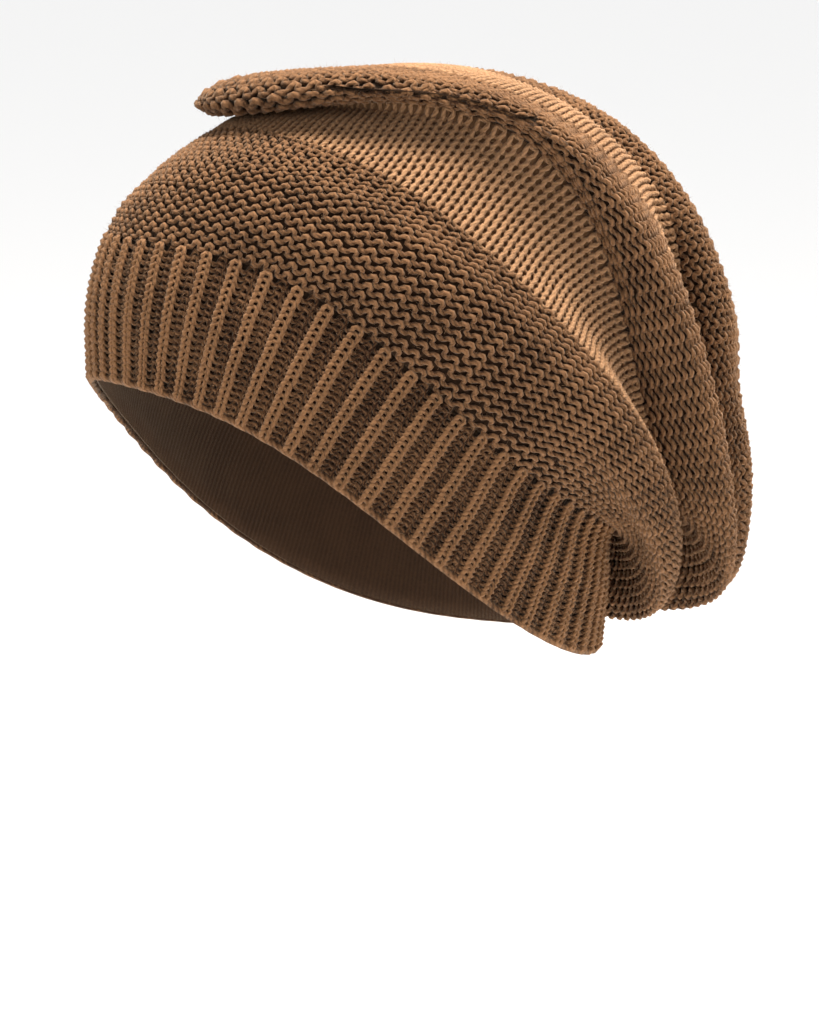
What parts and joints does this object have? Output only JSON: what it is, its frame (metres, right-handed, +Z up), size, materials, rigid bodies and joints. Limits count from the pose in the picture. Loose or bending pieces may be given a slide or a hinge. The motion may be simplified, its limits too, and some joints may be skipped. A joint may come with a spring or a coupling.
{
  "type": "slouchy beanie",
  "caption": "Slouchy knit hat with a ribbed head band, bands of garter and smooth stitch that fold and droop behind the head, and a gathered crown.",
  "frame": {"origin": "centre of the head opening at the rim, as worn", "axes": "+Z up as worn, -Y towards the brow, +X towards the wearer's left"},
  "size_m": [0.1854, 0.2227, 0.1939],
  "materials": {
    "rib_knit": "matte wool, one by one rib",
    "garter_knit": "matte wool, garter stitch",
    "smooth_knit": "matte wool, smooth stocking stitch",
    "crown_knit": "matte wool, pebbled stitch drawn to a gather"
  },
  "bodies": {
    "root": {"ribbed_band": "rib_knit", "garter_band_lower": "garter_knit", "smooth_band_lower": "smooth_knit", "garter_band_middle": "garter_knit", "smooth_band_upper": "smooth_knit", "garter_band_upper": "garter_knit", "crown": "crown_knit"}
  },
  "joints": []
}
